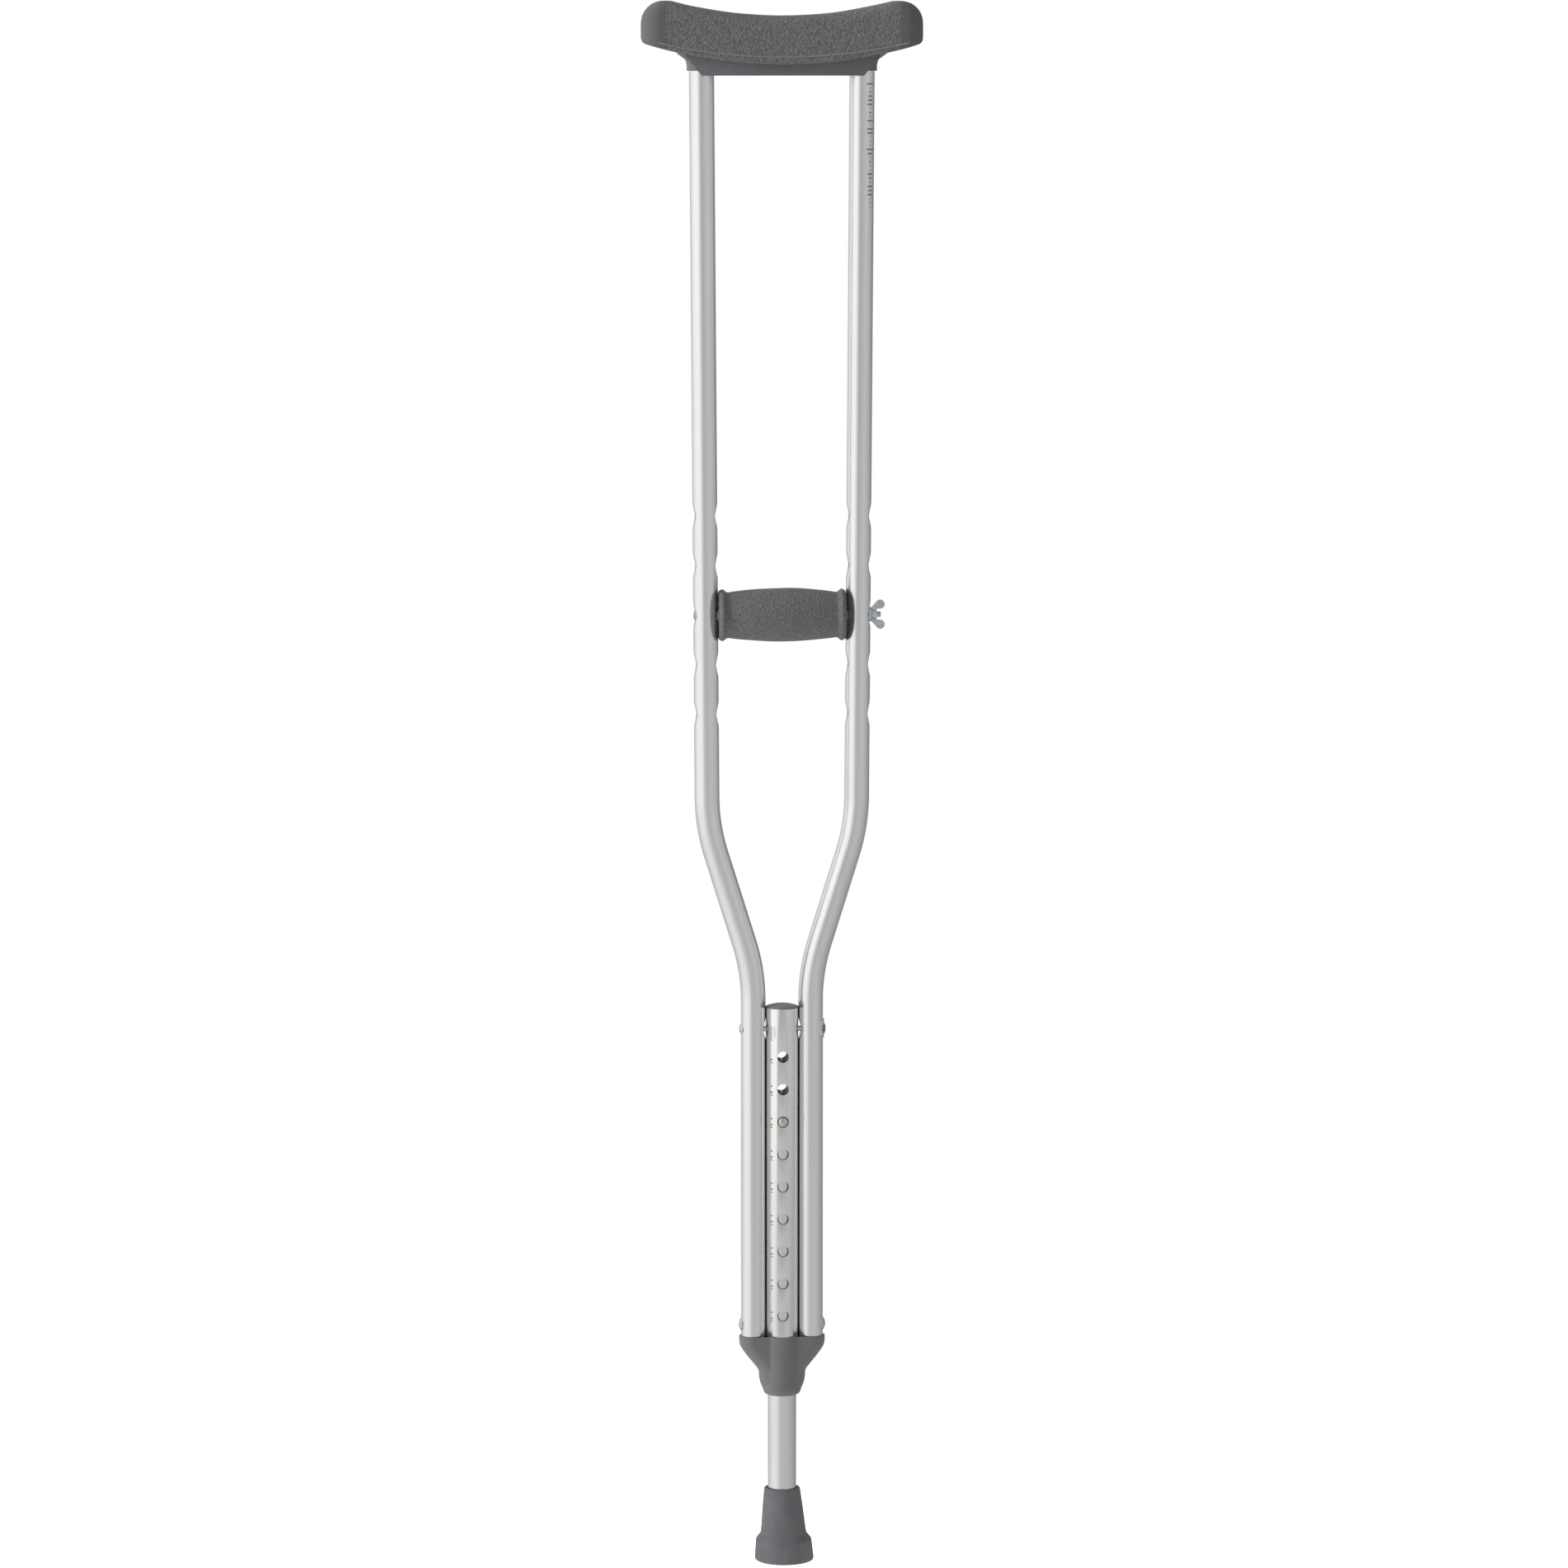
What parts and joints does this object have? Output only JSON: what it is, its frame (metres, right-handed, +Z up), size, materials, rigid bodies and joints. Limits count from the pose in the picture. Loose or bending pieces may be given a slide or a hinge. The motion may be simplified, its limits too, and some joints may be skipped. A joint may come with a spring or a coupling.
{
  "type": "underarm crutch",
  "caption": "Adult aluminium underarm crutch with a padded saddle top, a bolted foam hand grip, a push-button leg and a rubber tip.",
  "frame": {"origin": "centre of the rubber tip's sole, under the middle of the pad", "axes": "+Z up along the leg tube, +X from the left upright to the right upright with the wing nut on the right, +Y away from the viewer; the two faces are alike"},
  "size_m": [0.2134, 0.048, 1.208],
  "materials": {
    "satin_aluminium": "satin drawn tube, fine lengthwise brushing",
    "cap_plastic": "matt moulded plastic",
    "collar_plastic": "satin moulded plastic, fine spark grain",
    "rivet_steel": "tumbled plated steel",
    "saddle_plastic": "satin moulded plastic",
    "pad_foam": "matt moulded foam with pebble grain, smooth ends",
    "grip_foam": "matt moulded foam with pebble grain",
    "core_plastic": "moulded plastic",
    "bolt_steel": "plated steel",
    "zinc_plate": "cast, bright zinc plate with a blue cast",
    "spring_steel": "strip steel",
    "button_steel": "polished steel",
    "tip_rubber": "matt moulded rubber"
  },
  "bodies": {
    "frame": {"left_upright": "satin_aluminium", "right_upright": "satin_aluminium", "center_tube": "satin_aluminium", "center_tube_cap": "cap_plastic", "lower_collar": "collar_plastic", "upper_frame_rivet": "rivet_steel", "upper_rivet_washer": "rivet_steel", "lower_left_rivet": "rivet_steel", "lower_right_rivet": "rivet_steel", "underarm_saddle": "saddle_plastic", "underarm_pad": "pad_foam", "hand_grip": "grip_foam", "grip_core": "core_plastic", "grip_bolt": "bolt_steel"},
    "leg": {"leg_tube": "satin_aluminium", "snap_spring": "spring_steel", "crutch_tip": "tip_rubber", "tip_washer": "spring_steel"},
    "front_button": {"front_button": "button_steel"},
    "rear_button": {"rear_button": "button_steel"},
    "grip_washer": {"grip_washer": "zinc_plate"},
    "wing_nut": {"wing_nut": "zinc_plate"}
  },
  "joints": [
    {"name": "leg_extend", "type": "slide", "parent": "frame", "child": "leg", "axis": [0, 0, -1], "range_m": [-0.0508, 0.1524], "deforming": ["front_button", "rear_button", "snap_spring"]},
    {"name": "front_button_press", "type": "slide", "parent": "leg", "child": "front_button", "axis": [0, 1, 0], "range_m": [0, 0.0037], "stiffness_N_per_m": 1200, "springref_m": -0.001, "deforming": ["snap_spring"]},
    {"name": "rear_button_press", "type": "slide", "parent": "leg", "child": "rear_button", "axis": [0, -1, 0], "range_m": [0, 0.0037], "stiffness_N_per_m": 1200, "springref_m": -0.001, "deforming": ["snap_spring"]},
    {"name": "nut_travel", "type": "slide", "parent": "frame", "child": "grip_washer", "axis": [1, 0, 0], "range_m": [0, 0.00953]},
    {"name": "wing_nut_turn", "type": "hinge", "parent": "grip_washer", "child": "wing_nut", "pos_m": [0.0672, 0, 0.7405], "axis": [1, 0, 0], "range_deg": [0, 4320]}
  ],
  "couplings": [
    {"joint": "wing_nut_turn", "follows": "nut_travel", "rad_per_m": 7913.3}
  ]
}
